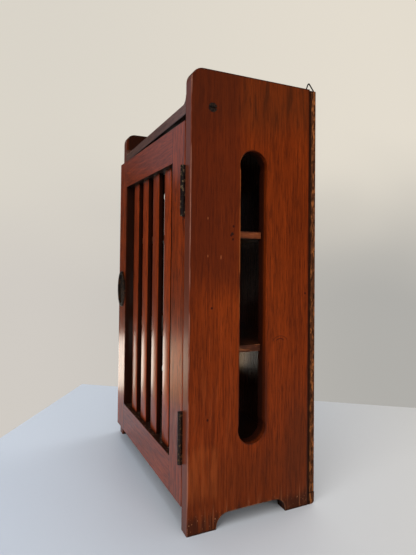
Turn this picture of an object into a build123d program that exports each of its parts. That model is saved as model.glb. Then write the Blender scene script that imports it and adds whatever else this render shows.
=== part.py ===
from build123d import *
from math import cos, radians, sin
import os

os.makedirs("parts", exist_ok=True)

# A small wall cabinet in stained pine: two slotted sides on shaped feet, a top and a bottom
# board, two thin shelves, a nailed-on back, and an inset door of four slats on butt hinges.
# Millimetres. +X is to the right seen from the front, +Y goes to the wall, +Z is up.
# The origin is the middle of the footprint, at the level of the feet.

# ---- Driving dimensions ------------------------------------------------------------------

# Carcass
cabinet_width = 276.0
cabinet_height = 450.0
side_depth = 140.0
side_thickness = 14.5
side_corner_radius = 13.0
arris_radius = 0.9

front_foot_length = 31.0
rear_foot_length = 29.0
foot_arch_height = 14.5
foot_arch_corner = 13.0

slot_width = 30.4
slot_drill_diameter = 32.0
slot_front_distance = 54.8
left_slot_further_back = 6.5
slot_bottom = 76.3
slot_top = 374.7

top_board_bottom = 407.0
top_board_thickness = 11.0
front_rail_thickness = 9.0
front_rail_cove = 8.0
bottom_board_bottom = 40.0
bottom_board_thickness = 10.0
shelf_thickness = 7.0
lower_shelf_bottom = 167.0
upper_shelf_bottom = 285.0
housing_depth = 4.0
board_behind_door = 1.0

back_thickness = 8.0
back_top_drop = 1.5
back_strip_height = 12.5
back_strip_corner = 4.0

# Door
door_ajar_angle = 2.0
door_thickness = 15.0
door_bottom = 20.5
door_top_gap = 6.0
door_hinge_gap = 1.0
door_free_gap = 2.5
stile_width = 33.0
top_rail_height = 37.0
bottom_rail_height = 36.5
rail_tenon_length = 20.0
rail_tenon_thickness = 5.0
rail_tenon_shoulder = 6.0
slat_count = 4
slat_width = 20.5
slat_thickness = 6.0
slat_setback = 6.0
slat_tenon_length = 9.0

# Pull
pull_height = 51.0
pull_width = 34.0
pull_proud = 2.4
pull_rim = 5.0
pull_centre_height = 218.0
pull_edge_radius = 1.1
pull_dish_depth = 1.5
pull_dish_radius = 0.5
pull_nail_inset = 2.8

# Butt hinges
hinge_length = 51.0
hinge_knuckles = 5
hinge_barrel_radius = 2.2
hinge_pin_radius = 0.9
hinge_leaf_width = 13.5
hinge_leaf_thickness = 1.2
upper_hinge_centre = 330.5
lower_hinge_centre = 88.0
hinge_screws = 3
knuckle_gap = 0.2
barrel_clearance = 0.2

# Fastenings
carcass_screw_length = 34.0
carcass_screw_radius = 2.0
carcass_screw_head = 4.7
carcass_screw_setback = 23.0
hinge_screw_length = 9.0
hinge_screw_radius = 1.1
hinge_screw_head = 2.1
pull_nail_length = 11.0
screw_slot_share = 0.28
nail_head_radius = 1.5
nail_head_height = 0.8
nail_radius = 0.7
nail_length = 26.0
shelf_nail_setback = 45.8
back_nail_rows = 5
back_nail_edge = 30.0

# Hangers
hanger_wire_diameter = 1.4
hanger_width = 21.5
hanger_neck_width = 6.4
hanger_neck_drop = 8.5
hanger_rise = 14.5
hanger_leg = 20.0
hanger_bend = 1.6
hanger_side_distance = 14.5
hanger_plate_width = 14.0
hanger_plate_height = 9.0
hanger_plate_thickness = 1.0
hanger_screw_length = 8.0

# Fits
pin_press_fit = 0.01
pin_running_fit = 0.05
wood_screw_fit = 0.02
gain_clearance = 0.1
wire_clearance = 0.05

# ---- Places worked out from them ---------------------------------------------------------

swing = radians(door_ajar_angle)
outer_x = cabinet_width / 2
inner_x = outer_x - side_thickness
door_top = top_board_bottom - door_top_gap
door_height = door_top - door_bottom
door_width = 2 * inner_x - door_hinge_gap - door_free_gap
axis_setout = hinge_barrel_radius + barrel_clearance
axis_x = inner_x - door_hinge_gap / 2
door_near = door_hinge_gap / 2
door_far = door_near + door_width
pull_across = door_far - stile_width / 2
pull_reach = axis_setout + pull_across * sin(swing) + (pull_proud - axis_setout) * cos(swing)
hanger_reach = hanger_wire_diameter + 2 * wire_clearance + hanger_plate_thickness
front_y = (pull_reach - side_depth - back_thickness - hanger_reach) / 2
side_back_y = front_y + side_depth
wall_y = side_back_y + back_thickness
axis_y = front_y - axis_setout
board_front_y = front_y + door_thickness + board_behind_door
top_board_top = top_board_bottom + top_board_thickness
back_top = cabinet_height - back_top_drop

# The door's own planes: across the door from the hinge, up, and back into the cabinet.
across_door = (-cos(swing), -sin(swing), 0)
into_cabinet = (-sin(swing), cos(swing), 0)
door_face = Plane(origin=(axis_x, axis_y, 0), x_dir=across_door, z_dir=into_cabinet)


def door_point(across, height, depth):
    """A place on the door: from the hinge axis across, up, and back from the axis."""
    return (
        axis_x + across * across_door[0] + depth * into_cabinet[0],
        axis_y + across * across_door[1] + depth * into_cabinet[1],
        height,
    )


def save(part, name):
    """Labels a finished piece and writes it."""
    part.label = name
    export_step(part, f"parts/{name}.step")


# ---- Screws and nails --------------------------------------------------------------------


def slotted_screw(plane, length, radius, head_radius, sunk=True):
    """A plain-shanked wood screw along -Z of its plane, with its head's face at the plane."""
    head_height = head_radius - radius if sunk else head_radius * 0.5
    tip = 2 * radius
    with BuildPart() as screw:
        with BuildSketch(Plane.XZ):
            with BuildLine():
                if sunk:
                    Polyline(
                        (0, 0),
                        (head_radius, 0),
                        (radius, -head_height),
                        (radius, tip - length),
                        (0, -length),
                        close=True,
                    )
                else:
                    Polyline(
                        (0, head_height),
                        (head_radius * 0.6, head_height),
                        (head_radius, 0),
                        (radius, 0),
                        (radius, tip - length),
                        (0, -length),
                        close=True,
                    )
            make_face()
        revolve(axis=Axis.Z)
        crown = 0 if sunk else head_height
        slot_depth = head_height * 0.6
        slot_wide = head_radius * screw_slot_share
        with Locations((0, 0, crown - slot_depth / 2)):
            Box(3 * head_radius, slot_wide, slot_depth, mode=Mode.SUBTRACT)
    return plane.location * screw.part


def screw_hole(plane, length, radius, head_radius, sunk=True):
    """The room that such a screw takes, a hair larger than the screw itself."""
    head_height = head_radius - radius
    with BuildPart() as room:
        with BuildSketch(Plane.XZ):
            with BuildLine():
                if sunk:
                    Polyline(
                        (0, 1),
                        (head_radius + wood_screw_fit, 1),
                        (head_radius + wood_screw_fit, 0),
                        (radius + wood_screw_fit, -head_height),
                        (radius + wood_screw_fit, -length),
                        (0, -length),
                        close=True,
                    )
                else:
                    Polyline(
                        (0, 1),
                        (radius + wood_screw_fit, 1),
                        (radius + wood_screw_fit, -length),
                        (0, -length),
                        close=True,
                    )
            make_face()
        revolve(axis=Axis.Z)
    return plane.location * room.part


def nail(plane, length):
    """A round-headed cabinet nail along -Z of its plane, its head let in flush."""
    with BuildPart() as pin:
        with BuildSketch(Plane.XZ):
            with BuildLine():
                Polyline(
                    (0, 0),
                    (nail_head_radius, 0),
                    (nail_head_radius, -nail_head_height),
                    (nail_radius, -nail_head_height),
                    (nail_radius, 2 * nail_radius - length),
                    (0, -length),
                    close=True,
                )
            make_face()
        revolve(axis=Axis.Z)
    return plane.location * pin.part


def nail_hole(plane, length):
    """The room that such a nail takes."""
    with BuildPart() as room:
        with BuildSketch(Plane.XZ):
            with BuildLine():
                Polyline(
                    (0, 1),
                    (nail_head_radius + wood_screw_fit, 1),
                    (nail_head_radius + wood_screw_fit, -nail_head_height),
                    (nail_radius + wood_screw_fit, -nail_head_height),
                    (nail_radius + wood_screw_fit, -length),
                    (0, -length),
                    close=True,
                )
            make_face()
        revolve(axis=Axis.Z)
    return plane.location * room.part


# Where they go. Each plane's +Z points out of the wood.
def side_plane(side, y, z):
    """On a side's outer face; side is +1 on the right and -1 on the left."""
    return Plane(origin=(side * outer_x, y, z), x_dir=(0, 1, 0), z_dir=(side, 0, 0))


def back_plane(x, z):
    """On the back's rear face."""
    return Plane(origin=(x, wall_y, z), x_dir=(1, 0, 0), z_dir=(0, 1, 0))


board_levels = {
    "bottom_board": bottom_board_bottom + bottom_board_thickness / 2,
    "shelf_lower": lower_shelf_bottom + shelf_thickness / 2,
    "shelf_upper": upper_shelf_bottom + shelf_thickness / 2,
}
top_screw_level = top_board_bottom + top_board_thickness / 2
top_screw_y = front_y + carcass_screw_setback
board_run = side_back_y - board_front_y
back_nail_step = (back_top - back_strip_height - 2 * back_nail_edge) / (back_nail_rows - 1)
back_side_levels = [
    back_strip_height + back_nail_edge + row * back_nail_step for row in range(back_nail_rows)
]
back_side_x = outer_x - side_thickness / 2
back_board_xs = [-inner_x / 2, 0, inner_x / 2]
strip_level = back_strip_height / 2

carcass_screw_planes = [side_plane(side, top_screw_y, top_screw_level) for side in (-1, 1)]
shelf_nail_planes = {
    side: side_plane(side, front_y + shelf_nail_setback, board_levels["shelf_upper"])
    for side in (-1, 1)
}
back_nail_planes = (
    [back_plane(side * back_side_x, z) for side in (-1, 1) for z in back_side_levels]
    + [back_plane(x, top_screw_level) for x in back_board_xs]
    + [back_plane(x, board_levels["bottom_board"]) for x in back_board_xs]
)
strip_nail_planes = [back_plane(side * back_side_x, strip_level) for side in (-1, 1)]


# ---- Butt hinges -------------------------------------------------------------------------
# Each leaf lies let in flush, in the side's inner face or in the door's edge, and the two
# share a barrel of five knuckles that stands in front of the joint.

knuckle_length = hinge_length / hinge_knuckles
hinge_centres = {"upper": upper_hinge_centre, "lower": lower_hinge_centre}
hinge_screw_depth = axis_setout + (hinge_leaf_width - axis_setout) * 0.55


def hinge_plane(centre, into_wood, along):
    """At one end of a hinge's axis, +X into the leaf's own wood and +Y to the back."""
    end = centre - along * hinge_length / 2
    return Plane(origin=(axis_x, axis_y, end), x_dir=into_wood, z_dir=(0, 0, along))


def leaf_screw_plane(centre, number, on_door):
    """On the leaf's bare face at one of its screws, +Z pointing out of the wood."""
    height = centre + (number - (hinge_screws - 1) / 2) * hinge_length * 0.34
    if on_door:
        face = door_point(door_near, height, hinge_screw_depth)
        outward = tuple(-part for part in across_door)
        return Plane(origin=face, x_dir=(0, 0, 1), z_dir=outward)
    face = (inner_x, axis_y + hinge_screw_depth, height)
    return Plane(origin=face, x_dir=(0, 0, 1), z_dir=(-1, 0, 0))


def hinge_leaf(plane, own_knuckles, bore_radius, screw_planes):
    """One leaf with its knuckles, countersunk for its screws."""
    plate_start = axis_setout + barrel_clearance
    with BuildPart() as leaf:
        with BuildSketch(plane):
            with Locations((door_near, plate_start)):
                plate_run = hinge_leaf_width - plate_start
                Rectangle(hinge_leaf_thickness, plate_run, align=(Align.MIN, Align.MIN))
        extrude(amount=hinge_length)
        for knuckle in own_knuckles:
            start = knuckle * knuckle_length + knuckle_gap / 2
            with BuildSketch(plane.offset(start)):
                Circle(hinge_barrel_radius)
                with Locations((door_near, 0)):
                    Rectangle(hinge_leaf_thickness, plate_start, align=(Align.MIN, Align.MIN))
                Circle(bore_radius, mode=Mode.SUBTRACT)
            extrude(amount=knuckle_length - knuckle_gap)
    solid = leaf.part
    for screw_plane in screw_planes:
        room = screw_hole(screw_plane, hinge_screw_length, hinge_screw_radius, hinge_screw_head)
        solid = solid - room
    return solid


def gain(plane):
    """The shallow bed that a leaf lies in."""
    with BuildPart() as bed:
        with BuildSketch(plane.offset(-gain_clearance)):
            with Locations((door_near, 0)):
                bed_run = hinge_leaf_width + gain_clearance
                Rectangle(hinge_leaf_thickness, bed_run, align=(Align.MIN, Align.MIN))
                Rectangle(1, bed_run, align=(Align.MAX, Align.MIN))
        extrude(amount=hinge_length + 2 * gain_clearance)
    return bed.part


leaf_screws = {"fixed": [], "door": []}
fixed_gains = []
door_gains = []
for place, centre in hinge_centres.items():
    fixed_plane = hinge_plane(centre, (1, 0, 0), 1)
    swing_plane = hinge_plane(centre, across_door, -1)
    fixed_holes = [leaf_screw_plane(centre, number, False) for number in range(hinge_screws)]
    swing_holes = [leaf_screw_plane(centre, number, True) for number in range(hinge_screws)]
    leaf_screws["fixed"] += fixed_holes
    leaf_screws["door"] += swing_holes
    fixed_gains.append(gain(fixed_plane))
    door_gains.append(gain(swing_plane))

    bore = hinge_pin_radius + pin_press_fit
    fixed_knuckles = range(0, hinge_knuckles, 2)
    save(hinge_leaf(fixed_plane, fixed_knuckles, bore, fixed_holes), f"hinge_{place}_side_leaf")
    bore = hinge_pin_radius + pin_running_fit
    swing_knuckles = range(1, hinge_knuckles, 2)
    save(hinge_leaf(swing_plane, swing_knuckles, bore, swing_holes), f"hinge_{place}_door_leaf")

    with BuildPart() as hinge_pin:
        with BuildSketch(Plane(origin=(axis_x, axis_y, centre - hinge_length / 2))):
            Circle(hinge_pin_radius)
        extrude(amount=hinge_length)
    save(hinge_pin.part, f"hinge_{place}_pin")


def leaf_screw_group(planes, name):
    """All the screws of one leaf side, as one group of separate solids."""
    screws = [
        slotted_screw(plane, hinge_screw_length, hinge_screw_radius, hinge_screw_head)
        for plane in planes
    ]
    save(Compound(children=screws), name)


leaf_screw_group(leaf_screws["fixed"], "hinge_screws_side")
leaf_screw_group(leaf_screws["door"], "hinge_screws_door")


# ---- Sides -------------------------------------------------------------------------------
# One board each, grain upright: rounded at the top front, slotted between two bored ends,
# and cut to an arch below so that it stands on two feet.

arch_span = side_depth - front_foot_length - rear_foot_length
arch_middle_y = front_y + front_foot_length + arch_span / 2
slot_middles = {1: front_y + slot_front_distance + slot_width / 2}
slot_middles[-1] = slot_middles[1] + left_slot_further_back
drill_radius = slot_drill_diameter / 2
board_run_housed = {
    "bottom_board": (bottom_board_bottom, bottom_board_thickness),
    "shelf_lower": (lower_shelf_bottom, shelf_thickness),
    "shelf_upper": (upper_shelf_bottom, shelf_thickness),
}

for side, name in ((-1, "side_left"), (1, "side_right")):
    start_x = inner_x if side > 0 else -outer_x
    housing_x = side * (inner_x + housing_depth / 2)
    with BuildPart() as panel:
        with BuildSketch(Plane.YZ.offset(start_x)) as outline:
            with Locations((front_y, 0)):
                Rectangle(side_depth, cabinet_height, align=(Align.MIN, Align.MIN))
            top_front = outline.vertices().group_by(Axis.Y)[-1].sort_by(Axis.X)[0]
            fillet(top_front, side_corner_radius)
            with Locations((arch_middle_y, 0)):
                RectangleRounded(
                    arch_span, 2 * foot_arch_height, foot_arch_corner, mode=Mode.SUBTRACT
                )
            bored_ends = [slot_bottom + drill_radius, slot_top - drill_radius]
            with Locations(*[(slot_middles[side], level) for level in bored_ends]):
                Circle(drill_radius, mode=Mode.SUBTRACT)
            with Locations((slot_middles[side], (slot_bottom + slot_top) / 2)):
                Rectangle(slot_width, bored_ends[1] - bored_ends[0], mode=Mode.SUBTRACT)
        extrude(amount=side_thickness)
        upright_edges = panel.edges().filter_by(Axis.Z).group_by(Axis.Y)
        outer_back_edge = upright_edges[-1].sort_by(Axis.X)[-1 if side > 0 else 0]
        fillet([*upright_edges[0], outer_back_edge], arris_radius)
        for bottom, thickness in board_run_housed.values():
            with Locations((housing_x, (board_front_y + side_back_y) / 2, bottom + thickness / 2)):
                Box(housing_depth, board_run, thickness, mode=Mode.SUBTRACT)
    solid = panel.part
    screw_plane = side_plane(side, top_screw_y, top_screw_level)
    solid = solid - screw_hole(
        screw_plane, carcass_screw_length, carcass_screw_radius, carcass_screw_head
    )
    solid = solid - nail_hole(shelf_nail_planes[side], nail_length)
    for plane in back_nail_planes + strip_nail_planes:
        if plane.origin.X * side > inner_x:
            solid = solid - nail_hole(plane, nail_length)
    if side > 0:
        for bed in fixed_gains:
            solid = solid - bed
        for plane in leaf_screws["fixed"]:
            solid = solid - screw_hole(
                plane, hinge_screw_length, hinge_screw_radius, hinge_screw_head
            )
    save(solid, name)


# ---- Boards across -----------------------------------------------------------------------
# The bottom board and the shelves are housed in the sides. The top board is butted between
# them and screwed through, with a shaped rail glued along its front edge.

for name, (bottom, thickness) in board_run_housed.items():
    board_length = 2 * (inner_x + housing_depth)
    with BuildPart() as board:
        with Locations((0, (board_front_y + side_back_y) / 2, bottom + thickness / 2)):
            Box(board_length, board_run, thickness)
        front_edges = board.edges().filter_by(Axis.X).group_by(Axis.Y)[0]
        fillet(front_edges, arris_radius)
    solid = board.part
    for plane in shelf_nail_planes.values():
        if bottom < plane.origin.Z < bottom + thickness:
            solid = solid - nail_hole(plane, nail_length)
    for plane in back_nail_planes:
        if bottom < plane.origin.Z < bottom + thickness and abs(plane.origin.X) < inner_x:
            solid = solid - nail_hole(plane, nail_length)
    save(solid, name)

rail_back_y = front_y + front_rail_thickness
with BuildPart() as top_board:
    with Locations((0, (rail_back_y + side_back_y) / 2, top_screw_level)):
        Box(2 * inner_x, side_back_y - rail_back_y, top_board_thickness)
solid = top_board.part
for plane in carcass_screw_planes:
    solid = solid - screw_hole(
        plane, carcass_screw_length, carcass_screw_radius, carcass_screw_head
    )
for plane in back_nail_planes:
    if abs(plane.origin.X) < inner_x and plane.origin.Z > top_board_bottom:
        solid = solid - nail_hole(plane, nail_length)
save(solid, "top_board")

with BuildPart() as front_rail:
    with BuildSketch(Plane.XZ.offset(-rail_back_y)):
        with BuildLine():
            crest = top_board_top + front_rail_cove
            left_foot = Line((-inner_x, crest), (-inner_x, top_board_bottom))
            under = Line(left_foot @ 1, (inner_x, top_board_bottom))
            right_foot = Line(under @ 1, (inner_x, crest))
            right_cove = RadiusArc(
                right_foot @ 1, (inner_x - front_rail_cove, top_board_top), front_rail_cove
            )
            over = Line(right_cove @ 1, (front_rail_cove - inner_x, top_board_top))
            RadiusArc(over @ 1, left_foot @ 0, front_rail_cove)
        make_face()
    extrude(amount=front_rail_thickness)
save(front_rail.part, "front_rail")


# ---- Back --------------------------------------------------------------------------------
# A rough board over the whole back, with a narrow strip below it at the level of the feet.

with BuildPart() as back_board:
    with Locations((0, side_back_y + back_thickness / 2, (back_strip_height + back_top) / 2)):
        Box(cabinet_width, back_thickness, back_top - back_strip_height)
    fillet(back_board.edges().filter_by(Axis.Z), arris_radius)

with BuildPart() as back_strip:
    with Locations((0, side_back_y + back_thickness / 2, back_strip_height / 2)):
        Box(cabinet_width, back_thickness, back_strip_height)
    lower_back_edge = back_strip.edges().filter_by(Axis.X).group_by(Axis.Z)[0].sort_by(Axis.Y)[-1]
    fillet(lower_back_edge, back_strip_corner)

hanger_xs = {"left": hanger_side_distance - outer_x, "right": outer_x - hanger_side_distance}
hanger_plate_level = cabinet_height - hanger_leg + hanger_plate_height / 2


def hanger_screw_planes(x):
    """On the face of a hanger's plate, one screw at its middle between the wire's legs."""
    y = wall_y + hanger_reach
    return [Plane(origin=(x, y, hanger_plate_level), x_dir=(1, 0, 0), z_dir=(0, 1, 0))]


solid = back_board.part
for plane in back_nail_planes:
    solid = solid - nail_hole(plane, nail_length)
for x in hanger_xs.values():
    for plane in hanger_screw_planes(x):
        solid = solid - screw_hole(
            plane, hanger_screw_length, hinge_screw_radius, hinge_screw_head, sunk=False
        )
save(solid, "back_board")

solid = back_strip.part
for plane in strip_nail_planes:
    solid = solid - nail_hole(plane, nail_length)
save(solid, "back_strip")


# ---- Hangers -----------------------------------------------------------------------------
# Each is a wire bent to a pointed eye that stands above the back. Below its shoulders it
# narrows to two legs, which are clamped under a small plate.

for place, x in hanger_xs.items():
    wire_y = wall_y + wire_clearance + hanger_wire_diameter / 2
    eye_x = hanger_width / 2
    leg_x = hanger_neck_width / 2
    foot_z = cabinet_height - hanger_leg
    neck_z = back_top - hanger_neck_drop
    with BuildPart() as wire:
        with BuildLine() as route:
            FilletPolyline(
                (x - leg_x, wire_y, foot_z),
                (x - leg_x, wire_y, neck_z),
                (x - eye_x, wire_y, back_top),
                (x, wire_y, cabinet_height + hanger_rise - hanger_wire_diameter / 2),
                (x + eye_x, wire_y, back_top),
                (x + leg_x, wire_y, neck_z),
                (x + leg_x, wire_y, foot_z),
                radius=hanger_bend,
            )
        with BuildSketch(Plane(origin=route.line @ 0, z_dir=route.line % 0)):
            Circle(hanger_wire_diameter / 2)
        sweep(path=route.line)
    save(wire.part, f"hanger_{place}_wire")

    plate_y = wall_y + hanger_reach - hanger_plate_thickness / 2
    with BuildPart() as plate:
        with Locations((x, plate_y, hanger_plate_level)):
            Box(hanger_plate_width, hanger_plate_thickness, hanger_plate_height)
        fillet(plate.edges().filter_by(Axis.Y), 2 * hanger_plate_thickness)
    solid = plate.part
    for plane in hanger_screw_planes(x):
        solid = solid - screw_hole(
            plane, hanger_screw_length, hinge_screw_radius, hinge_screw_head, sunk=False
        )
    save(solid, f"hanger_{place}_plate")

hanger_screws = [
    slotted_screw(plane, hanger_screw_length, hinge_screw_radius, hinge_screw_head, sunk=False)
    for x in hanger_xs.values()
    for plane in hanger_screw_planes(x)
]
save(Compound(children=hanger_screws), "hanger_screws")


# ---- Carcass fastenings ------------------------------------------------------------------

carcass_screws = [
    slotted_screw(plane, carcass_screw_length, carcass_screw_radius, carcass_screw_head)
    for plane in carcass_screw_planes
]
save(Compound(children=carcass_screws), "carcass_screws")
shelf_nails = [nail(plane, nail_length) for plane in shelf_nail_planes.values()]
save(Compound(children=shelf_nails), "shelf_nails")
back_nails = [nail(plane, nail_length) for plane in back_nail_planes + strip_nail_planes]
save(Compound(children=back_nails), "back_nails")


# ---- Door --------------------------------------------------------------------------------
# A frame of two stiles and two tenoned rails, with four thin slats let into the rails.
# It is drawn standing ajar, turned about the hinge axis.

door_front = door_face.offset(axis_setout)
tenon_plane = door_face.offset(axis_setout + (door_thickness - rail_tenon_thickness) / 2)
slat_plane = door_face.offset(axis_setout + slat_setback)
inner_near = door_near + stile_width
inner_far = door_far - stile_width
opening_width = inner_far - inner_near
slat_gap = (opening_width - slat_count * slat_width) / (slat_count + 1)
rails = {
    "door_rail_bottom": (door_bottom, bottom_rail_height),
    "door_rail_top": (door_top - top_rail_height, top_rail_height),
}
slat_bottom = door_bottom + bottom_rail_height - slat_tenon_length
slat_top = door_top - top_rail_height + slat_tenon_length
slat_starts = [
    inner_near + slat_gap + number * (slat_width + slat_gap) for number in range(slat_count)
]
corner = (Align.MIN, Align.MIN)
pull_nail_reach = pull_height / 2 - pull_nail_inset
pull_nail_planes = [
    Plane(
        origin=door_point(pull_across, pull_centre_height + place, axis_setout - pull_proud),
        x_dir=(0, 0, 1),
        z_dir=[-part for part in into_cabinet],
    )
    for place in (-pull_nail_reach, pull_nail_reach)
]

for name, start, tenon_start, outer_edge in (
    ("door_stile_hinge", door_near, inner_near - rail_tenon_length, 0),
    ("door_stile_free", inner_far, inner_far, -1),
):
    with BuildPart() as stile:
        with BuildSketch(door_front):
            with Locations((start, door_bottom)):
                Rectangle(stile_width, door_height, align=corner)
        extrude(amount=door_thickness)
        front_face = stile.faces().sort_by(Axis((0, 0, 0), into_cabinet))[0]
        front_edges = front_face.edges().filter_by(Axis.Z).sort_by(Axis((0, 0, 0), across_door))
        fillet(front_edges[outer_edge], arris_radius)
        for bottom, height in rails.values():
            with BuildSketch(tenon_plane):
                with Locations((tenon_start, bottom + rail_tenon_shoulder)):
                    Rectangle(rail_tenon_length, height - 2 * rail_tenon_shoulder, align=corner)
            extrude(amount=rail_tenon_thickness, mode=Mode.SUBTRACT)
    solid = stile.part
    if name == "door_stile_hinge":
        for bed in door_gains:
            solid = solid - bed
        for plane in leaf_screws["door"]:
            solid = solid - screw_hole(
                plane, hinge_screw_length, hinge_screw_radius, hinge_screw_head
            )
    else:
        for plane in pull_nail_planes:
            solid = solid - nail_hole(plane, pull_nail_length)
    save(solid, name)

for name, (bottom, height) in rails.items():
    with BuildPart() as rail:
        with BuildSketch(door_front):
            with Locations((inner_near, bottom)):
                Rectangle(opening_width, height, align=corner)
        extrude(amount=door_thickness)
        with BuildSketch(tenon_plane):
            with Locations((inner_near - rail_tenon_length, bottom + rail_tenon_shoulder)):
                tenoned_width = opening_width + 2 * rail_tenon_length
                Rectangle(tenoned_width, height - 2 * rail_tenon_shoulder, align=corner)
        extrude(amount=rail_tenon_thickness)
        with BuildSketch(slat_plane):
            with Locations(*[(slat_start, slat_bottom) for slat_start in slat_starts]):
                Rectangle(slat_width, slat_top - slat_bottom, align=corner)
        extrude(amount=slat_thickness, mode=Mode.SUBTRACT)
    save(rail.part, name)

for number, slat_start in enumerate(slat_starts, start=1):
    with BuildPart() as slat:
        with BuildSketch(slat_plane):
            with Locations((slat_start, slat_bottom)):
                Rectangle(slat_width, slat_top - slat_bottom, align=corner)
        extrude(amount=slat_thickness)
        front_face = slat.faces().sort_by(Axis((0, 0, 0), into_cabinet))[0]
        fillet(front_face.edges().filter_by(Axis.Z), arris_radius)
    save(slat.part, f"door_slat_{number}")


# ---- Pull --------------------------------------------------------------------------------
# A low oval plate with a hollowed middle, whose rim a fingertip catches. One round-headed
# nail through the rim at each end holds it on the stile.

with BuildPart() as pull:
    with BuildSketch(door_front):
        with Locations((pull_across, pull_centre_height)):
            Ellipse(pull_width / 2, pull_height / 2)
    extrude(amount=-pull_proud)
    fillet(pull.edges().sort_by(Axis(door_face.origin, into_cabinet))[0], pull_edge_radius)
    with BuildSketch(door_face.offset(axis_setout - pull_proud)):
        with Locations((pull_across, pull_centre_height)):
            Ellipse(pull_width / 2 - pull_rim, pull_height / 2 - pull_rim)
    extrude(amount=pull_dish_depth, mode=Mode.SUBTRACT)
    dish_edges = pull.edges(Select.LAST).sort_by(Axis(door_face.origin, into_cabinet))
    fillet(dish_edges[-1], pull_dish_radius)
solid = pull.part
for plane in pull_nail_planes:
    solid = solid - nail_hole(plane, pull_nail_length)
save(solid, "pull")
pull_nails = [nail(plane, pull_nail_length) for plane in pull_nail_planes]
save(Compound(children=pull_nails), "pull_nails")
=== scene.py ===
from math import cos, pi, radians, sin

import bpy
from mathutils import Matrix, Vector


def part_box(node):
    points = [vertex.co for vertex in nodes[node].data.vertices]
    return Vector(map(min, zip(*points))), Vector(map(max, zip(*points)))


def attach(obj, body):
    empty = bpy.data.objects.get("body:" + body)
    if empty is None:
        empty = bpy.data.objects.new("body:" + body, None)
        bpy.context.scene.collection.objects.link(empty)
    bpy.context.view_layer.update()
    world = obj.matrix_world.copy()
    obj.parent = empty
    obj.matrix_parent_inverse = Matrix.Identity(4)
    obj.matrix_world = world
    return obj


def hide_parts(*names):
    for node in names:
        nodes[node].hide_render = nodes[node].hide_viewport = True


# A small wall cabinet in stained pine: two slotted sides, a tray top, two thin shelves, a nailed
# back and a slatted door on butt hinges. Metres. +X is right, +Y goes to the wall, +Z is up.

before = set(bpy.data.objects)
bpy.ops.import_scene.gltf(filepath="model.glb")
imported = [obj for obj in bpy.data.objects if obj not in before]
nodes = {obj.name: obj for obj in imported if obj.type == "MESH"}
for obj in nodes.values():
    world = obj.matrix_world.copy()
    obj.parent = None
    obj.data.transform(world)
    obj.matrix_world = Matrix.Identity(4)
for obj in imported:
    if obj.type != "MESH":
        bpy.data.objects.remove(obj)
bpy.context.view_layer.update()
scene = bpy.context.scene

# ---- Viewpoint ---------------------------------------------------------------------------
# Someone sits to the right of the cabinet, a little above its middle, and looks across its
# front, so the right side shows almost square and the door shows at a slant.

camera_place = Vector((0.5252, -0.2247, 0.2645))
camera_turn = radians(65.821)
camera_rise = radians(1.178)
camera_roll = radians(0.585)

lens = bpy.data.cameras.new("viewpoint")
lens.sensor_width = 36
lens.lens = 28.26
lens.shift_y = -0.052
camera = bpy.data.objects.new("viewpoint", lens)
turn = Matrix.Rotation(camera_turn, 4, "Z")
tilt = Matrix.Rotation(pi / 2 + camera_rise, 4, "X")
roll = Matrix.Rotation(camera_roll, 4, "Z")
camera.matrix_world = Matrix.Translation(camera_place) @ turn @ tilt @ roll
scene.collection.objects.link(camera)
scene.camera = camera
scene.view_settings.view_transform = "Standard"


# ---- Table, wall and light ---------------------------------------------------------------
# The cabinet stands near the back left corner of a painted table top, with a pale wall well
# behind it. Soft light fills the room; the panes of a low window, beyond the table's left
# edge, are what the varnish of the door picks up.


class Shade:
    """A socket in a node tree. Sums, products and powers of it are written as plain maths."""

    def __init__(self, tree, socket=None):
        self.tree = tree
        self.socket = socket

    def node(self, kind, inputs, settings=None, out=0):
        """Adds any node: its settings come first, then the values or links of its sockets."""
        made = self.tree.nodes.new(kind)
        for name, value in (settings or {}).items():
            setattr(made, name, value)
        for name, value in inputs.items():
            if isinstance(value, Shade):
                self.tree.links.new(value.socket, made.inputs[name])
            else:
                made.inputs[name].default_value = value
        return Shade(self.tree, made.outputs[out])

    def maths(self, operation, *values):
        return self.node("ShaderNodeMath", dict(enumerate(values)), {"operation": operation})

    def __add__(self, other):
        return self.maths("ADD", self, other)

    def __sub__(self, other):
        return self.maths("SUBTRACT", self, other)

    def __rsub__(self, other):
        return self.maths("SUBTRACT", other, self)

    def __mul__(self, other):
        return self.maths("MULTIPLY", self, other)

    def __truediv__(self, other):
        return self.maths("DIVIDE", self, other)

    def __pow__(self, other):
        return self.maths("POWER", self, other)

    def __abs__(self):
        return self.maths("ABSOLUTE", self)

    __radd__ = __add__
    __rmul__ = __mul__

    def at_least(self, other):
        return self.maths("MAXIMUM", self, other)

    def between(self, start, end):
        """0 at the start, 1 at the end, and smooth between them."""
        reach = {"Value": self, "From Min": start, "From Max": end}
        return self.node("ShaderNodeMapRange", reach, {"interpolation_type": "SMOOTHSTEP"})

    def tint(self, colour, other):
        """The first colour where this mask is 0, the other where it is 1."""
        plain = [c if isinstance(c, Shade) else (*c, 1) for c in (colour, other)]
        sockets = {0: self, 6: plain[0], 7: plain[1]}
        return self.node("ShaderNodeMix", sockets, {"data_type": "RGBA"}, out=2)

    def noise(self, scale, detail=2.0, roughness=0.5):
        """Noise over this vector, with one scale for each axis."""
        sockets = {0: self, 1: scale}
        stretched = self.node("ShaderNodeVectorMath", sockets, {"operation": "MULTIPLY"})
        feel = {"Vector": stretched, "Scale": 1.0, "Detail": detail, "Roughness": roughness}
        return self.node("ShaderNodeTexNoise", feel)

    def xyz(self):
        return [self.node("ShaderNodeSeparateXYZ", {0: self}, out=axis) for axis in range(3)]


def new_material(name):
    """An empty material and the start of its node tree."""
    material = bpy.data.materials.new(name)
    material.use_nodes = True
    tree = material.node_tree
    tree.nodes.clear()
    tree.nodes.new("ShaderNodeOutputMaterial")
    return material, Shade(tree)


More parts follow.
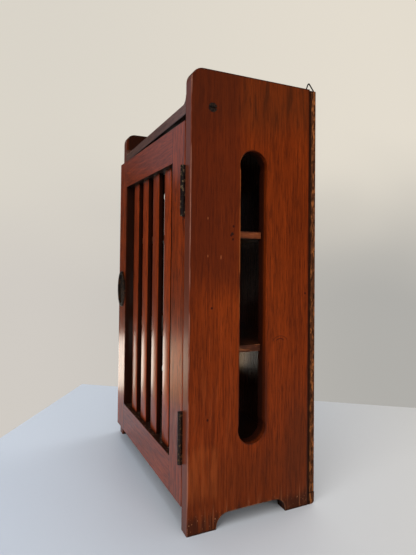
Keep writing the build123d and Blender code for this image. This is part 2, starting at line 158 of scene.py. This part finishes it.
def join_surface(shade, kind, sockets):
    """Ends a material with one shader node."""
    surface = shade.node(kind, sockets)
    output = shade.tree.nodes["Material Output"]
    shade.tree.links.new(surface.socket, output.inputs["Surface"])


def stage_mesh(name, corners, material):
    """A flat or boxed piece of the room, with one face for each four corners."""
    mesh = bpy.data.meshes.new(name)
    mesh.from_pydata(corners, [], [tuple(range(n, n + 4)) for n in range(0, len(corners), 4)])
    mesh.materials.append(material)
    piece = bpy.data.objects.new(name, mesh)
    scene.collection.objects.link(piece)


table_corner = Vector((-0.409, -0.088, 0))
table_left_edge = Vector((0.842, -0.539, 0))
table_back_edge = Vector((0.579, 0.815, 0))
table_length = 2.6
table_depth = 2.2
table_thickness = Vector((0, 0, 0.022))

table_paint_and_light, shade = new_material("table_paint_and_painted_light")
place = shade.node("ShaderNodeTexCoord", {}, out=3)
x, y, z = place.xyz()
# Painted light: the table's pale paint is made paler and bluer to the left, towards the window, and
# greyer and darker to the right.
colour = (x + y).between(-0.3, 0.5).tint((0.57, 0.64, 0.74), (0.52, 0.52, 0.515))
mottle = place.noise((60, 60, 60), 4)
bump = shade.node("ShaderNodeBump", {"Height": mottle, "Strength": 0.05, "Distance": 0.001})
painted = {"Base Color": colour, "Roughness": 0.45, "Normal": bump, "Specular IOR Level": 0.3}
join_surface(shade, "ShaderNodeBsdfPrincipled", painted)

along = table_left_edge * table_length
across = table_back_edge * table_depth
outline = [table_corner, table_corner + along, table_corner + along + across, table_corner + across]
sunk = [corner - table_thickness for corner in outline]
table_faces = [*outline, *reversed(sunk)]
for n in range(4):
    after = (n + 1) % 4
    table_faces += [outline[n], sunk[n], sunk[after], outline[after]]
stage_mesh("table_top", table_faces, table_paint_and_light)

wall_ahead = Vector((-0.912, 0.410, 0))
wall_sideways = Vector((0.410, 0.912, 0))
wall_distance = 2.3
wall_left, wall_right = -1.14, 3.0
wall_bottom, wall_top = -2.0, 3.0
# The wall glows instead of being lit. Its colour is painted light and shade: bright high up, darker
# low down and darkest low on the right, in soft patches.
wall_glow_with_painted_shade, shade = new_material("wall_glow_with_painted_shade")
place = shade.node("ShaderNodeTexCoord", {}, out=3)
x, y, z = place.xyz()
to_right = (x * wall_sideways.x + y * wall_sideways.y).between(-1.0, 1.0)
high = to_right.tint((0.70, 0.66, 0.585), (0.77, 0.715, 0.62))
low = to_right.tint((0.63, 0.595, 0.55), (0.43, 0.42, 0.395))
patches = place.noise((1.1, 1.1, 1.6), 1.5)
colour = (z + patches * 0.6).between(1.25, 0.3).tint(high, low)
join_surface(shade, "ShaderNodeEmission", {"Color": colour, "Strength": 1.0})
middle = Vector((camera_place.x, camera_place.y, 0)) + wall_ahead * wall_distance
wall_foot = [(wall_left, wall_bottom), (wall_right, wall_bottom)]
wall_head = [(wall_right, wall_top), (wall_left, wall_top)]
corners = [middle + wall_sideways * s + Vector((0, 0, z)) for s, z in wall_foot + wall_head]
stage_mesh("wall", corners, wall_glow_with_painted_shade)


def soft_light(name, place, target, size, power, colour, mirrored=False):
    """A rectangular soft box aimed at a point. Varnish only mirrors it if it's asked to."""
    data = bpy.data.lights.new(name, "AREA")
    data.shape = "RECTANGLE"
    data.size, data.size_y = size
    data.energy = power
    data.color = colour
    light = bpy.data.objects.new(name, data)
    light.location = place
    light.rotation_euler = (Vector(target) - Vector(place)).to_track_quat("-Z", "Y").to_euler()
    light.visible_camera = False
    light.visible_glossy = mirrored
    scene.collection.objects.link(light)


window_x = -1.44


def pane(name, y_span, z_span, brightness, colour):
    """A pane of the far window, seen by the varnish alone: its brightness sets its power."""
    y, z = sum(y_span) / 2, sum(z_span) / 2
    width, height = y_span[1] - y_span[0], z_span[1] - z_span[0]
    power = brightness * pi * width * height
    soft_light(name, (window_x, y, z), (0, y, z), (width, height), power, colour, True)


soft_light("window", (1.2, -1.5, 1.5), (0, 0, 0.2), (1.6, 1.6), 36, (1.0, 0.97, 0.94))
soft_light("side_fill", (2.2, 0.2, 0.7), (0, 0, 0.2), (1.4, 1.4), 26, (1.0, 0.97, 0.94))
soft_light("ceiling", (0.1, 0.2, 2.2), (0, 0, 0), (2.0, 2.0), 26, (0.95, 0.97, 1.0))
soft_light("rear_fill", (-0.6, 2.0, 1.0), (0, 0, 0.2), (1.4, 1.4), 16, (1.0, 0.97, 0.94))
pane("pane_far", (-0.60, -0.30), (-0.34, -0.10), 6.4, (1.0, 0.90, 0.77))
pane("pane_near", (-0.84, -0.665), (-0.44, -0.15), 2.5, (1.0, 0.64, 0.34))
pane("pane_high", (-1.1, -0.62), (0.66, 1.5), 0.62, (0.95, 0.84, 1.0))

world = bpy.data.worlds.new("room")
scene.world = world
world.use_nodes = True
world.node_tree.nodes.clear()
air = Shade(world.node_tree)
air_light, air_gloss = 0.07, 0.015
seen = air.node("ShaderNodeLightPath", {})
glossy = air.node("ShaderNodeLightPath", {}, out=3)
strength = air_light - glossy * (air_light - air_gloss)
pale = air.node("ShaderNodeBackground", {"Color": (0.62, 0.60, 0.57, 1)})
dim = air.node("ShaderNodeBackground", {"Color": (0.95, 0.97, 1.0, 1), "Strength": strength})
both = air.node("ShaderNodeMixShader", {0: seen, 1: dim, 2: pale})
sky = world.node_tree.nodes.new("ShaderNodeOutputWorld")
world.node_tree.links.new(both.socket, sky.inputs["Surface"])


# ---- Sides -------------------------------------------------------------------------------
# Each side is one pine board, stained red-brown and varnished, with a slot between two bored
# ends and an arch that leaves two feet. Handling and damp have marked the lower part.

mm = 0.001
side_low, side_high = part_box("side_right")
front_y, back_y = side_low.y, side_high.y
outer_x, inner_x = side_high.x, side_low.x
side_top = side_high.z
slot_middle = front_y + 70 * mm
slot_half_width = 15.2 * mm
left_slot_further_back = 6.5 * mm
slot_ends = (76.3 * mm, 374.7 * mm)
arch_middle = front_y + 71 * mm
arch_half_width = 40 * mm
arch_height = 14.5 * mm
arch_corner = 13 * mm
varnish_roughness = 0.21


def stained_wood(name, grain, tones, seed, figure=1.0, fine=1.0):
    """Stained wood whose grain runs along one axis: what the marks on it then change."""
    material, shade = new_material(name)
    place = shade.node("ShaderNodeTexCoord", {}, out=3)
    offset = (seed, seed * 0.7, seed * 0.3)
    board = shade.node("ShaderNodeMapping", {"Vector": place, "Location": offset})

    def run(across, along):
        return [along if axis == grain else across * fine for axis in "XYZ"]

    bands = board.noise(run(42, 2.0), 2.0).between(0.25, 0.75)
    blotch = board.noise(run(22, 9), 3, 0.6).between(0.3, 0.75)
    lines = board.noise(run(520, 19), 3, 0.65)
    fibres = board.noise(run(850, 60), 3, 0.65)
    stripes = board.noise(run(150, 7), 2.5, 0.6).between(0.54, 0.80)
    pores = board.noise(run(1700, 48), 2, 0.5).between(0.62, 0.78)
    glints = board.noise(run(420, 13), 2, 0.5).between(0.68, 0.80)
    dark, middle, light = tones
    colour = (bands * 0.7 + blotch * 0.3).tint(middle, light)
    colour = (lines.between(0.46, 0.68) * 0.34 * figure).tint(colour, dark)
    colour = (lines.between(0.46, 0.32) * 0.28 * figure).tint(colour, [1.5 * part for part in light])
    colour = (stripes * 0.12 * figure).tint(colour, dark)
    colour = (fibres.between(0.48, 0.64) * 0.50 * figure).tint(colour, dark)
    colour = (pores * 0.5 * figure).tint(colour, dark)
    colour = (glints * 0.22 * figure).tint(colour, [1.6 * part for part in light])
    normal = shade.node("ShaderNodeNewGeometry", {}, out=1).xyz()
    end = abs(normal["XYZ".index(grain)]).between(0.55, 0.9)
    colour = (end * 0.6).tint(colour, dark)
    return {
        "material": material,
        "shade": shade,
        "place": place,
        "xyz": place.xyz(),
        "normal": normal,
        "colour": colour,
        "rough": lines * 0.14 + pores * 0.2 + blotch * 0.1 + end * 0.2 + 0.42,
        "height": lines * 0.5 + fibres * 0.4 - pores * 0.6,
        "coat": 0.0,
        "shine": 0.08,
    }


def mark(wood, mask, colour, strength=1.0):
    """Stains the wood with a colour where the mask is 1."""
    wood["colour"] = (mask * strength).tint(wood["colour"], colour)


def varnish(wood, *names):
    """Joins the wood's colour, roughness and height in one surface and puts it on nodes."""
    relief = {"Height": wood["height"], "Strength": 0.3, "Distance": 0.4 * mm}
    sockets = {
        "Base Color": wood["colour"],
        "Roughness": wood["rough"],
        "Normal": wood["shade"].node("ShaderNodeBump", relief),
        "Specular IOR Level": wood["shine"],
        "Coat Weight": wood["coat"],
        "Coat Roughness": varnish_roughness,
    }
    join_surface(wood["shade"], "ShaderNodeBsdfPrincipled", sockets)
    put_on(wood["material"], *names)


def put_on(material, *names):
    """Gives one material to whole nodes."""
    for name in names:
        slots = nodes[name].data.materials
        slots.clear()
        slots.append(material)


def from_rounded_box(along, across, half_length, half_width, corner):
    """How far a place is from a box with rounded corners: 0 on its outline."""
    over = (abs(along) - (half_length - corner)).at_least(0)
    out = (abs(across) - (half_width - corner)).at_least(0)
    return (over * over + out * out) ** 0.5 - corner


def spot(wood, u, z, wide, tall):
    """A soft-edged mark on a side's face: u from its front edge, z from the table."""
    off_u = (wood["xyz"][1] - front_y - u * mm) / (wide * mm)
    off_z = (wood["xyz"][2] - z * mm) / (tall * mm)
    return (off_u * off_u + off_z * off_z).between(1.3, 0.5)


side_tones = ((0.028, 0.0052, 0.0016), (0.115, 0.0156, 0.0018), (0.188, 0.0272, 0.0028))
side = stained_wood("side_wood", "Z", side_tones, 3.1)
x, y, z = side["xyz"]
u = y - front_y
side_face = abs(x).between(outer_x - 1.2 * mm, outer_x - 0.5 * mm)
cloud = side["place"].noise((30, 30, 14), 3)
fray = side["place"].noise((230, 230, 26), 3)

# Darker where the stain ran thick: the head and the lower back. The upper front is painted darker as
# painted shade.
mark(side, (z + cloud * 0.05).between(0.405, 0.450), (0.060, 0.015, 0.004), 0.45)
mark(side, fray.between(0.50, 0.66) * z.between(0.375, 0.420), (0.018, 0.007, 0.003), 0.45)
# Painted shade over the upper front of the side.
shaded = (z + cloud * 0.04).between(0.225, 0.280) * (u + cloud * 0.02).between(0.078, 0.058)
mark(side, shaded, (0.045, 0.0070, 0.0025), 0.62)
low_back = (z + cloud * 0.05).between(0.175, 0.105) * u.between(0.095, 0.130)
mark(side, low_back, (0.050, 0.014, 0.006), 0.30)

# Damp from below, a paler patch above the front foot, and scuffs and specks on both feet.
damp = (z - u * 0.25 + cloud * 0.05).between(0.110, 0.045)
mark(side, damp, (0.045, 0.011, 0.003), 0.38)
ragged_z = z + cloud * 0.03
patch = ragged_z.between(0.100, 0.088) * ragged_z.between(0.040, 0.052) * u.between(0.040, 0.026)
mark(side, patch * fray.between(0.30, 0.60), (0.240, 0.052, 0.010), 0.40)
mark(side, (z + fray * 0.02).between(0.030, 0.019), (0.020, 0.006, 0.0025), 0.7)
specks = side["place"].noise((600, 600, 330), 2).between(0.66, 0.72)
mark(side, specks * z.between(0.022, 0.010), (0.45, 0.20, 0.10), 0.6)
scratches = side["place"].noise((700, 700, 16), 2).between(0.60, 0.70)
mark(side, scratches * (z + fray * 0.02).between(0.040, 0.022), (0.30, 0.10, 0.04), 0.4)
sappy = fray.between(0.50, 0.66) * z.between(0.26, 0.12) * u.between(0.062, 0.04)
mark(side, sappy, (0.25, 0.046, 0.009), 0.25)

# Wear along the arch, the slot and the front arris, and the dark bore of the slot.
slot_half_length = (slot_ends[1] - slot_ends[0]) / 2
slot_height = sum(slot_ends) / 2
from_slot = y - slot_middle - x.between(0, -1 * mm) * left_slot_further_back
to_slot = from_rounded_box(
    z - slot_height, from_slot, slot_half_length, slot_half_width, slot_half_width
)
to_arch = from_rounded_box(y - arch_middle, z, arch_half_width, arch_height, arch_corner)
worn = fray.between(0.42, 0.58)
mark(side, side_face * to_arch.between(1.5 * mm, 0.3 * mm) * worn, (0.26, 0.11, 0.05), 0.35)
slot_arris = side_face * to_slot.between(1.5 * mm, 0.4 * mm)
mark(side, slot_arris * u.between(0.075, 0.070), (0.030, 0.008, 0.004), 0.6)
mark(side, slot_arris * worn * u.between(0.062, 0.058), (0.36, 0.095, 0.022), 0.5)
bored = to_slot.between(0.05 * mm, -0.3 * mm)
mark(side, bored, (0.035, 0.010, 0.006), 0.75)
mark(side, bored * fray.between(0.40, 0.60) * z.between(0.24, 0.30), (0.22, 0.045, 0.015), 0.8)
soot = to_slot.between(4.5 * mm, 1 * mm) * u.between(0.078, 0.088) * z.between(0.200, 0.130)
mark(side, soot, (0.030, 0.007, 0.003), 0.75)
front_arris = u.between(1.3 * mm, 0.4 * mm) * abs(x).between(outer_x - 2 * mm, outer_x)
mark(side, front_arris * worn, (0.40, 0.22, 0.16), 0.5)
mark(side, z.between(side_top - 2.0 * mm, side_top - 0.6 * mm), (0.018, 0.007, 0.004), 0.8)
mark(side, z.between(2.2 * mm, 0.6 * mm), (0.020, 0.008, 0.004), 0.8)
# Painted shade: a near-black band along the back edge stands in for the shadow in the groove between
# side and back board.
mark(side, y.between(back_y - 2.6 * mm, back_y - 1.0 * mm), (0.016, 0.004, 0.002), 0.9)
# Painted shade: the sides' inner faces, inside the cabinet, are painted near black.
inside = abs(x).between(outer_x - 3 * mm, outer_x - 7 * mm) * u.between(1 * mm, 5 * mm)
mark(side, inside, (0.012, 0.0035, 0.0018), 0.85)

# The front edge has the door's thicker varnish.
edge_face = u.between(0.8 * mm, 0.3 * mm)
mark(side, edge_face, (0.20, 0.048, 0.024), 0.55)
side["coat"] = edge_face * 0.42

# A knot that shows as two arcs, nail heads and filled dents, and small pale nicks.
knot_u, knot_z = 103 * mm, 177 * mm
off_u, off_z = u - knot_u, z - knot_z
knot = (off_u * off_u * 0.5 + off_z * off_z) ** 0.5
inner_arc = abs(knot - 3.4 * mm).between(0.7 * mm, 0.2 * mm)
outer_arc = abs(knot - 6.2 * mm).between(0.6 * mm, 0.2 * mm)
right_face = x.between(outer_x - 1.2 * mm, outer_x - 0.5 * mm)
upper_half = z.between(knot_z + 0.5 * mm, knot_z + 2.5 * mm)
mark(side, (inner_arc + outer_arc * 0.6) * right_face * upper_half, (0.02, 0.005, 0.003), 0.8)
for nail_u, nail_z in ((47, 296), (44.5, 287), (46.5, 283), (134.7, 227), (20.5, 107), (24, 215)):
    mark(side, spot(side, nail_u, nail_z, 1.1, 1.3) * right_face, (0.012, 0.004, 0.003), 0.9)
for nick_u, nick_z, tall in ((18.9, 303, 2.0), (33.4, 265, 3.2), (19.2, 266, 2.0)):
    mark(side, spot(side, nick_u, nick_z, 0.6, tall * 0.7) * right_face, (0.30, 0.085, 0.03), 0.6)
varnish(side, "side_right", "side_left")

# ---- Shelves and boards ------------------------------------------------------------------
# Thin stained boards let into grooves in the sides, and a thicker top board screwed between
# them. All are duller than the outside; the shelves' front edges and sawn ends are rubbed pale.

inside_tones = ((0.008, 0.003, 0.002), (0.030, 0.009, 0.004), (0.055, 0.017, 0.007))
shelf = stained_wood("shelf_wood", "X", inside_tones, 7.7, figure=0.8)
shelf["shine"] = 0.35
x, y, z = shelf["xyz"]
mark(shelf, abs(shelf["normal"][1]).between(0.5, 0.9), (0.22, 0.065, 0.024), 0.75)
rubbed = shelf["place"].noise((90, 60, 500), 3, 0.6)
sawn = abs(shelf["normal"][0]).between(0.5, 0.9)
mark(shelf, sawn, z.between(0.20, 0.26).tint((0.050, 0.013, 0.005), (0.150, 0.036, 0.010)), 0.9)
mark(shelf, sawn * rubbed.between(0.50, 0.64), (0.30, 0.095, 0.030), 0.5)
mark(shelf, sawn * rubbed.between(0.46, 0.34), (0.020, 0.006, 0.003), 0.8)
varnish(shelf, "shelf_upper", "shelf_lower", "bottom_board")

top_tones = ((0.02, 0.007, 0.004), (0.09, 0.026, 0.011), (0.15, 0.045, 0.018))
top = stained_wood("top_wood", "X", top_tones, 9.2)
varnish(top, "top_board")

# ---- Front rail of the tray --------------------------------------------------------------
# A narrow rail with coved ends closes the tray's front. It is a paler grey-brown than the sides.

rail_tones = ((0.024, 0.010, 0.007), (0.120, 0.048, 0.030), (0.180, 0.080, 0.052))
rail = stained_wood("rail_wood", "X", rail_tones, 12.7)
rail["coat"] = 0.7
x, y, z = rail["xyz"]
rail_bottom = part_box("front_rail")[0].z
# Painted shade: a dark band along the rail's bottom edge, over the gap above the door.
mark(rail, z.between(rail_bottom + 2 * mm, rail_bottom), (0.01, 0.005, 0.004), 0.8)
varnish(rail, "front_rail")

# ---- Back --------------------------------------------------------------------------------
# A sawn board nailed on from behind, with a strip below it. Its edges are rough and drank the
# stain unevenly; inside it is painted near black as painted shade, and still glossy.

back_tones = ((0.012, 0.004, 0.002), (0.080, 0.022, 0.008), (0.15, 0.045, 0.016))
back = stained_wood("back_wood", "Z", back_tones, 21.4)
x, y, z = back["xyz"]
at_edge = abs(x).between(outer_x - 1.2 * mm, outer_x - 0.3 * mm)
crumbs = back["place"].noise((420, 420, 150), 4, 0.7)
patches = back["place"].noise((260, 260, 90), 3, 0.65)
mark(back, at_edge, (0.075, 0.024, 0.009), 0.9)
mark(back, at_edge * patches.between(0.48, 0.62), (0.26, 0.085, 0.022), 0.8)
mark(back, at_edge * crumbs.between(0.48, 0.58), (0.012, 0.004, 0.002), 0.85)
# Painted shade: the edge strip beside the side is painted near black for the shadow in the groove
# between them.
mark(back, y.between(back_y + 2.5 * mm, back_y + 1.3 * mm) * at_edge, (0.012, 0.004, 0.002), 0.92)
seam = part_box("back_strip")[1].z
mark(back, at_edge * abs(z - seam).between(1.0 * mm, 0.3 * mm), (0.006, 0.003, 0.002), 0.9)
# Painted shade: the inside face, within the cabinet, is painted near black.
within = y.between(back_y + 2.5 * mm, back_y + 1.0 * mm) * abs(x).between(inner_x, inner_x - 2 * mm)
mark(back, within, (0.012, 0.004, 0.002), 0.8)
back["height"] = back["height"] + at_edge * crumbs * 2.5
back["rough"] = back["rough"] + at_edge * 0.3
back["coat"] = y.between(back_y + 3 * mm, back_y) * (1 - at_edge)
varnish(back, "back_board", "back_strip")

# ---- Door frame --------------------------------------------------------------------------
# Two stiles and two tenoned rails, the same pine as the sides under a thicker varnish. Dirt
# sits in the joints and where the slats meet the rails.

hinge_low, hinge_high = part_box("hinge_upper_pin")
axis_x, axis_y = (hinge_low.x + hinge_high.x) / 2, (hinge_low.y + hinge_high.y) / 2
ajar = radians(2)
stile_width = 33 * mm
door_near = 0.5 * mm
door_width = 243.5 * mm
axis_setout = 2.4 * mm
rail_edges = (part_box("door_rail_bottom")[1].z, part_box("door_rail_top")[0].z)


def across_door(wood):
    """How far across the door a place is, from the hinge axis."""
    return (axis_x - wood["xyz"][0]) * cos(ajar) + (axis_y - wood["xyz"][1]) * sin(ajar)


def into_door(wood):
    """How far behind the door's face a place is."""
    x, y, z = wood["xyz"]
    return (axis_x - x) * sin(ajar) + (y - axis_y) * cos(ajar) - axis_setout


def door_marks(wood, crevice):
    """Dirt in the joints, and painted shade on the inner edges and the back."""
    z = wood["xyz"][2]
    a = across_door(wood)
    for joint in (door_near + stile_width, door_near + door_width - stile_width):
        mark(wood, abs(a - joint).between(0.8 * mm, 0.25 * mm), crevice, 0.85)
    # Painted shade: every face more than 2 mm behind the front, the inner edges and the back, is
    # painted near black.
    depth = into_door(wood)
    mark(wood, depth.between(0.9 * mm, 2.2 * mm), (0.012, 0.004, 0.002), 0.85)


crevice = (0.008, 0.004, 0.003)
door_coat = 0.6
door_tones = ((0.045, 0.0064, 0.0012), (0.210, 0.0270, 0.0022), (0.320, 0.0460, 0.0045))
stile = stained_wood("stile_wood", "Z", door_tones, 31.4, figure=1.2, fine=0.5)
stile["coat"] = door_coat
door_marks(stile, crevice)
stain_z = 88 * mm
a = across_door(stile)
off_a, off_z = (a - 12 * mm) / (13 * mm), (stile["xyz"][2] - stain_z) / (24 * mm)
halo = off_a * off_a + off_z * off_z
on_face = into_door(stile).between(1.0 * mm, 0.5 * mm)
mark(stile, halo.between(1.0, 0.7) * halo.between(0.1, 0.5) * on_face, (0.24, 0.085, 0.045), 0.3)
varnish(stile, "door_stile_hinge", "door_stile_free")

rail_wood = stained_wood("door_rail_wood", "X", door_tones, 37.4, figure=1.1, fine=0.8)
door_marks(rail_wood, crevice)
# Painted shade: the rails' top and bottom faces are painted near black; the pale crumbs on them are
# dust.
ledge = abs(rail_wood["normal"][2]).between(0.4, 0.8)
mark(rail_wood, ledge, (0.012, 0.005, 0.003), 0.9)
crumbs = rail_wood["place"].noise((330, 330, 330), 3)
mark(rail_wood, ledge * crumbs.between(0.58, 0.68), (0.16, 0.10, 0.07), 0.6)
rail_wood["coat"] = door_coat - ledge * 0.5
varnish(rail_wood, "door_rail_top", "door_rail_bottom")

# ---- Slats -------------------------------------------------------------------------------
# Four upright slats with eased arrises, let into the rails. Each is a different stick of the same
# wood, so some are lighter than others;
# their sides and backs are painted near black as painted shade, and are duller.

slat_count = 4
slat_width = 20.5 * mm
slat_thickness = 6 * mm
slat_setback = 6 * mm
slat_arris = 1.1 * mm
arris_steps, slat_rings = 4, 60
slat_low, slat_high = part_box("door_slat_1")
opening = door_width - 2 * stile_width
slat_gap = (opening - slat_count * slat_width) / (slat_count + 1)
first_across = door_near + stile_width + slat_gap + slat_width / 2
first_in = axis_setout + slat_setback + slat_thickness / 2

slat_tones = ((0.050, 0.0070, 0.0020), (0.320, 0.0420, 0.0055), (0.480, 0.0700, 0.0110))
slat = stained_wood("slat_wood", "Z", slat_tones, 43.4, fine=0.55)
tone = slat["shade"].node("ShaderNodeAttribute", {}, {"attribute_name": "tone"}, out=2)
mark(slat, tone, (0.120, 0.017, 0.003), 0.4)
# Painted shade: the slats' sides and backs, behind their front faces, are painted near black.
behind = into_door(slat).between(slat_setback + 0.2 * mm, slat_setback + 0.8 * mm)
mark(slat, behind, (0.006, 0.002, 0.001), 0.95)
slat["coat"] = door_coat - behind * 0.5
for edge, way in zip(rail_edges, (1, -1)):
    mark(slat, ((slat["xyz"][2] - edge) * way).between(3.5 * mm, 0.3 * mm), crevice, 0.7)
varnish(slat)

tree = bpy.data.node_groups.new("slat_row", "GeometryNodeTree")
sizes_in = {
    "Count": ("NodeSocketInt", slat_count),
    "First Place": ("NodeSocketVector", (-first_across, first_in, slat_low.z)),
    "Step": ("NodeSocketVector", (-(slat_width + slat_gap), 0, 0)),
    "Width": ("NodeSocketFloat", slat_width),
    "Thickness": ("NodeSocketFloat", slat_thickness),
    "Height": ("NodeSocketFloat", slat_high.z - slat_low.z),
    "Arris": ("NodeSocketFloat", slat_arris),
    "Hinge": ("NodeSocketVector", (axis_x, axis_y, 0)),
    "Ajar": ("NodeSocketFloat", ajar),
    "Seed": ("NodeSocketInt", 5),
}
for name, (kind, value) in sizes_in.items():
    tree.interface.new_socket(name, in_out="INPUT", socket_type=kind)
tree.interface.new_socket("Slats", in_out="OUTPUT", socket_type="NodeSocketGeometry")
start = Shade(tree)
given = tree.nodes.new("NodeGroupInput")
size = {name: Shade(tree, given.outputs[name]) for name in sizes_in}
line = {"Count": size["Count"], "Start Location": size["First Place"], "Offset": size["Step"]}
places = start.node("GeometryNodeMeshLine", line, {"mode": "OFFSET"})
sawn_end = {"Width": size["Width"], "Height": size["Thickness"]}
section = start.node("GeometryNodeCurvePrimitiveQuadrilateral", sawn_end)
eased = {"Curve": section, "Count": arris_steps, "Radius": size["Arris"]}
section = start.node("GeometryNodeFilletCurve", eased, {"mode": "POLY"})
stick = start.node("ShaderNodeCombineXYZ", {"Z": size["Height"]})
stick = start.node("GeometryNodeCurvePrimitiveLine", {"Start": (0, 0, 0), "End": stick})
stick = start.node("GeometryNodeResampleCurve", {"Curve": stick, "Count": slat_rings})
swept = {"Curve": stick, "Profile Curve": section, "Fill Caps": True}
stick = start.node("GeometryNodeCurveToMesh", swept)
row = start.node("GeometryNodeInstanceOnPoints", {"Points": places, "Instance": stick})
chance = start.node("FunctionNodeRandomValue", {"Seed": size["Seed"]}, {"data_type": "FLOAT"}, out=1)
stored = {"Geometry": row, "Name": "tone", "Value": chance}
each_slat = {"data_type": "FLOAT", "domain": "INSTANCE"}
row = start.node("GeometryNodeStoreNamedAttribute", stored, each_slat)
row = start.node("GeometryNodeRealizeInstances", {"Geometry": row})
spin = start.node("ShaderNodeCombineXYZ", {"Z": size["Ajar"]})
hung = {"Geometry": row, "Translation": size["Hinge"], "Rotation": spin}
row = start.node("GeometryNodeTransform", hung)
row = start.node("GeometryNodeSetMaterial", {"Geometry": row, "Material": slat["material"]})
result = tree.nodes.new("NodeGroupOutput")
tree.links.new(row.socket, result.inputs["Slats"])


def grown(name, tree, values, material):
    """What a tree of geometry nodes makes of its inputs, as a plain mesh."""
    blank = bpy.data.objects.new(name, bpy.data.meshes.new(name + "_start"))
    scene.collection.objects.link(blank)
    modifier = blank.modifiers.new("grow", "NODES")
    modifier.node_group = tree
    sockets = {item.name: item.identifier for item in tree.interface.items_tree}
    for key, value in values.items():
        modifier[sockets[key]] = value
    ready = blank.evaluated_get(bpy.context.evaluated_depsgraph_get())
    mesh = bpy.data.meshes.new_from_object(ready)
    blank.modifiers.clear()
    blank.data = mesh
    mesh.materials.clear()
    mesh.materials.append(material)
    return blank


slat_sizes = {name: value for name, (kind, value) in sizes_in.items()}
slats = grown("slats", tree, slat_sizes, slat["material"])
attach(slats, "door")
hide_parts(*[f"door_slat_{number}" for number in range(1, slat_count + 1)])


# ---- Metal -------------------------------------------------------------------------------
# Steel screws and nails gone dark, butt hinges whose plating is worn through, wire hangers
# and an oxidised pull.


def old_metal(name, base, bare, share, rough, names, scale=500):
    """Dull metal, with brighter bare patches over a share of it."""
    material, shade = new_material(name)
    place = shade.node("ShaderNodeTexCoord", {}, out=3)
    patch = place.noise((scale, scale, scale), 3, 0.6)
    shown = patch.between(0.62 - share * 0.3, 0.72 - share * 0.3)
    grit = place.noise((2600, 2600, 2600), 2)
    relief = {"Height": grit + patch, "Strength": 0.25, "Distance": 0.2 * mm}
    sockets = {
        "Base Color": shown.tint(base, bare),
        "Metallic": shown * 0.5 + 0.4,
        "Roughness": rough - shown * 0.15 + grit * 0.2,
        "Normal": shade.node("ShaderNodeBump", relief),
    }
    join_surface(shade, "ShaderNodeBsdfPrincipled", sockets)
    put_on(material, *names)


screws = [n for n in nodes if "screws" in n]
nails = [n for n in nodes if n.endswith("nails")]
old_metal("screw_steel", (0.014, 0.008, 0.006), (0.09, 0.055, 0.035), 0.35, 0.6, screws)
old_metal("nail_iron", (0.016, 0.006, 0.004), (0.05, 0.02, 0.01), 0.2, 0.75, nails)
# Each hinge has its own copy: the upper one's brighter bare patches are partly worn plating and
# partly painted glints.
for height, base, bare, share in (
    ("upper", (0.014, 0.010, 0.009), (0.42, 0.30, 0.16), 0.22),
    ("lower", (0.016, 0.009, 0.006), (0.22, 0.13, 0.06), 0.2),
):
    parts = [n for n in nodes if n.startswith(f"hinge_{height}")]
    old_metal(f"hinge_{height}_steel", base, bare, share, 0.45, parts, 260)
wires = [n for n in nodes if n.endswith("wire")]
plates = [n for n in nodes if n.endswith("plate")]
old_metal("hanger_wire", (0.010, 0.009, 0.008), (0.05, 0.045, 0.04), 0.2, 0.45, wires)
old_metal("hanger_brass", (0.16, 0.10, 0.04), (0.42, 0.29, 0.11), 0.5, 0.4, plates)
old_metal("pull_bronze", (0.014, 0.009, 0.006), (0.13, 0.060, 0.030), 0.35, 0.36, ["pull"], 120)
